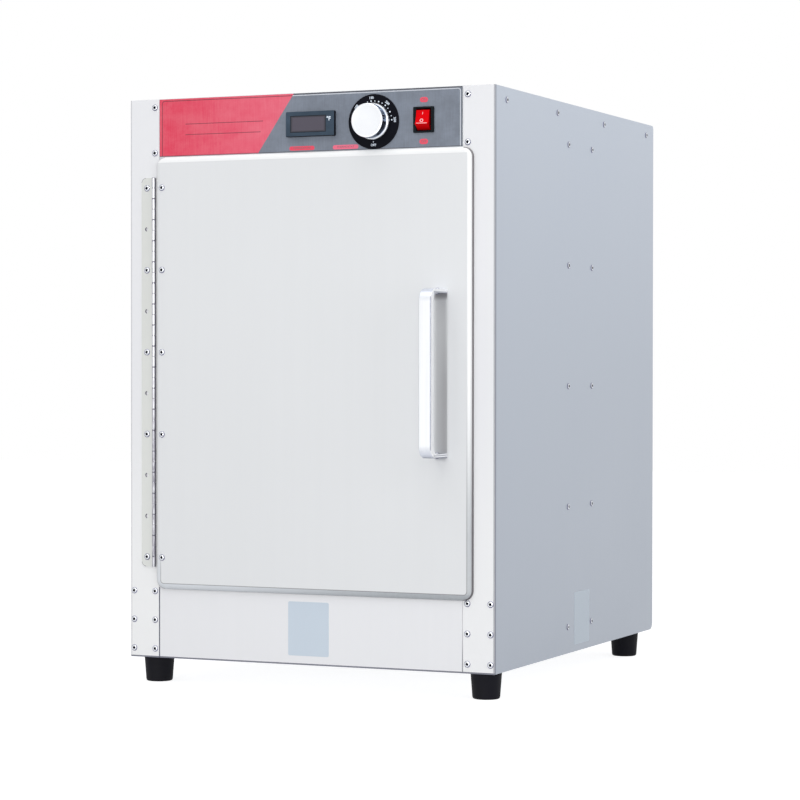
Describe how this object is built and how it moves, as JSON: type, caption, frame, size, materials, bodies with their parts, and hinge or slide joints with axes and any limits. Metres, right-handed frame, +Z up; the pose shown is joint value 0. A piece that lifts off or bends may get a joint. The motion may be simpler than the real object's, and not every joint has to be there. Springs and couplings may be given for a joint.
{
  "type": "plate warmer cabinet",
  "caption": "Heated upright cabinet with a side-hung insulated door, bar handle, control panel on top of the front, wire shelves on angle rails, a water tray and rubber feet.",
  "frame": {"origin": "on the floor under the middle of the casing, where the feet stand", "axes": "+X to the cabinet's right seen from the front, +Y to its back, so the door faces -Y, and +Z up"},
  "size_m": [0.4866, 0.6427, 0.718],
  "materials": {
    "casing_sheet": "satin",
    "front_sheet": "satin",
    "control_sheet": "satin",
    "panel_print": "satin",
    "screw_steel": "satin",
    "cavity_steel": "brushed",
    "tray_steel": "brushed",
    "shelf_chrome": "polished",
    "brace_steel": "galvanised",
    "insulation_wool": "fibrous",
    "element_sheath": "oxidised",
    "copper_tube": "satin",
    "bezel_plastic": "satin",
    "window_plastic": "gloss",
    "dial_black": "satin",
    "knob_silver": "satin",
    "black_plastic": "matte",
    "rocker_red": "gloss",
    "wire_cover": "matte",
    "foot_rubber": "matte",
    "door_finish": "satin",
    "hinge_steel": "satin",
    "handle_satin": "satin",
    "seal_silicone": "matte",
    "magnet_dark": "matte"
  },
  "bodies": {
    "cabinet": {"back_panel": "casing_sheet", "back_screws": "screw_steel", "base_pan": "casing_sheet", "catch_magnets": "magnet_dark", "cavity_liner": "cavity_steel", "control_panel": "control_sheet", "dial_plate": "dial_black", "element_brackets": "cavity_steel", "floor_insulation": "insulation_wool", "foot_bolts": "screw_steel", "frame_hinge_leaf": "hinge_steel", "frame_hinge_screws": "screw_steel", "front_left_foot": "foot_rubber", "front_right_foot": "foot_rubber", "front_screws": "screw_steel", "heating_element": "element_sheath", "hinge_pin": "hinge_steel", "left_brace": "brace_steel", "left_front_strip": "front_sheet", "left_insulation": "insulation_wool", "left_rack": "cavity_steel", "left_side_panel": "casing_sheet", "left_side_screws": "screw_steel", "lower_front_panel": "front_sheet", "panel_overlay": "panel_print", "power_inlet": "black_plastic", "rear_insulation": "insulation_wool", "rear_left_foot": "foot_rubber", "rear_right_foot": "foot_rubber", "right_brace": "brace_steel", "right_front_strip": "front_sheet", "right_insulation": "insulation_wool", "right_rack": "cavity_steel", "right_side_panel": "casing_sheet", "right_side_screws": "screw_steel", "roof_insulation": "insulation_wool", "sensor_clips": "copper_tube", "switch_housing": "black_plastic", "thermometer_case": "bezel_plastic", "thermometer_probe": "copper_tube", "thermometer_window": "window_plastic", "thermostat": "black_plastic", "thermostat_bulb": "copper_tube", "top_panel": "casing_sheet", "wiring": "wire_cover"},
    "door": {"door_skin": "door_finish", "door_pan": "cavity_steel", "door_insulation": "insulation_wool", "door_gasket": "seal_silicone", "door_hinge_leaf": "hinge_steel", "door_screws": "screw_steel", "door_handle": "handle_satin", "catch_plates": "hinge_steel"},
    "control_knob": {"control_knob": "knob_silver", "thermostat_shaft": "knob_silver"},
    "rocker": {"rocker": "rocker_red"},
    "lower_shelf": {"lower_shelf": "shelf_chrome"},
    "middle_shelf": {"middle_shelf": "shelf_chrome"},
    "upper_shelf": {"upper_shelf": "shelf_chrome"},
    "water_tray": {"water_tray": "tray_steel"}
  },
  "joints": [
    {"name": "door_swing", "type": "hinge", "parent": "cabinet", "child": "door", "pos_m": [-0.208, -0.29455, 0.383], "axis": [0, 0, -1], "range_deg": [0, 115]},
    {"name": "knob_turn", "type": "hinge", "parent": "cabinet", "child": "control_knob", "pos_m": [0.0878, -0.3, 0.6801], "axis": [0, 1, 0], "range_deg": [0, 270]},
    {"name": "rocker_tilt", "type": "hinge", "parent": "cabinet", "child": "rocker", "pos_m": [0.1521, -0.2841, 0.6801], "axis": [1, 0, 0], "range_deg": [0, 30]},
    {"name": "lower_shelf_slide", "type": "slide", "parent": "cabinet", "child": "lower_shelf", "axis": [0, -1, 0], "range_m": [0, 0.025]},
    {"name": "middle_shelf_slide", "type": "slide", "parent": "cabinet", "child": "middle_shelf", "axis": [0, -1, 0], "range_m": [0, 0.025]},
    {"name": "upper_shelf_slide", "type": "slide", "parent": "cabinet", "child": "upper_shelf", "axis": [0, -1, 0], "range_m": [0, 0.025]},
    {"name": "water_tray_slide", "type": "slide", "parent": "cabinet", "child": "water_tray", "axis": [0, -1, 0], "range_m": [0, 0.025]}
  ]
}
